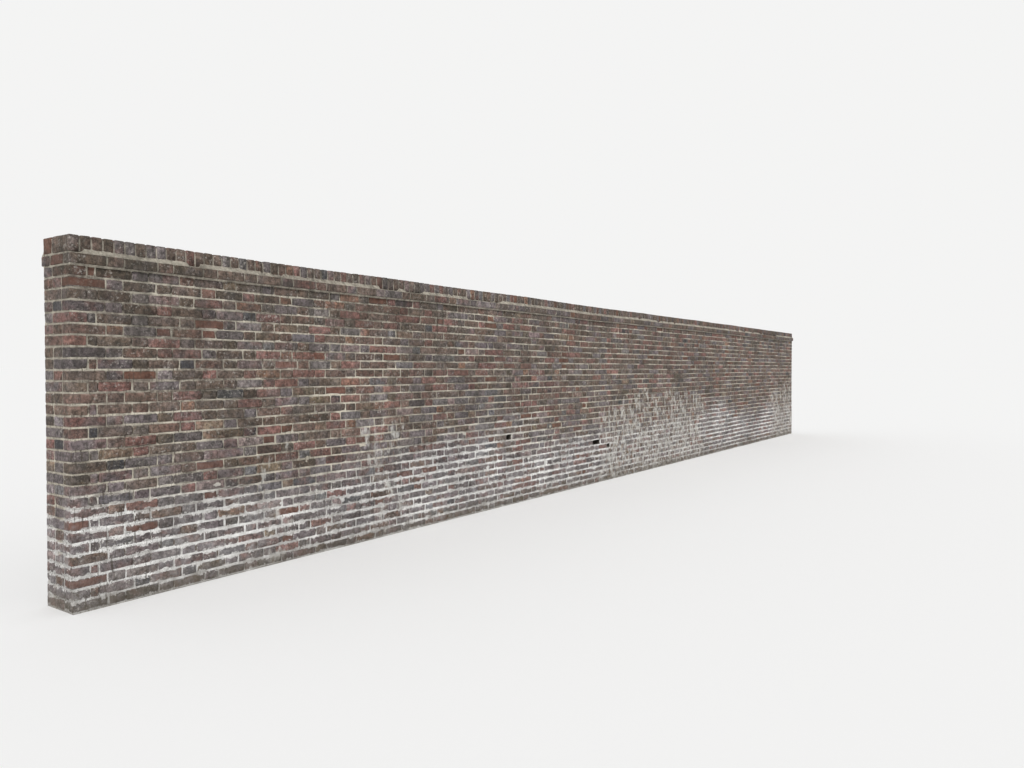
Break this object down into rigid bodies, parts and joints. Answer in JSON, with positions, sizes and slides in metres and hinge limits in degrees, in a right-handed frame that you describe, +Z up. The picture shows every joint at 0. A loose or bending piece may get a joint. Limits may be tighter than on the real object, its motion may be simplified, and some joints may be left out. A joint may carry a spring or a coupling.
{
  "type": "brick garden wall",
  "caption": "Straight run of old garden wall in Flemish bond and lime mortar, with an oversailing course, mortar fillets and a coping of bricks on edge.",
  "frame": {"origin": "middle of the wall's foot, at ground level", "axes": "+X along the wall, -Y out of the garden face, +Z up"},
  "size_m": [17.173, 0.407, 2.475],
  "materials": {
    "brickwork": "old hand-made brick with lime bloom, rough and weathered",
    "oversailing_brick": "old brick, darkened by weather and algae",
    "coping_brick": "old brick on edge, worn and stained",
    "lime_mortar": "white lime mortar, eroded and dusty"
  },
  "bodies": {
    "root": {"wall_bay_1": "brickwork", "wall_bay_2": "brickwork", "wall_bay_3": "brickwork", "wall_bay_4": "brickwork", "wall_bay_5": "brickwork", "wall_bay_6": "brickwork", "oversailing_course_1": "oversailing_brick", "oversailing_course_2": "oversailing_brick", "oversailing_course_3": "oversailing_brick", "oversailing_course_4": "oversailing_brick", "oversailing_course_5": "oversailing_brick", "oversailing_course_6": "oversailing_brick", "mortar_fillets_1": "lime_mortar", "mortar_fillets_2": "lime_mortar", "mortar_fillets_3": "lime_mortar", "mortar_fillets_4": "lime_mortar", "mortar_fillets_5": "lime_mortar", "mortar_fillets_6": "lime_mortar", "coping_1": "coping_brick", "coping_2": "coping_brick", "coping_3": "coping_brick", "coping_4": "coping_brick", "coping_5": "coping_brick", "coping_6": "coping_brick"}
  },
  "joints": []
}
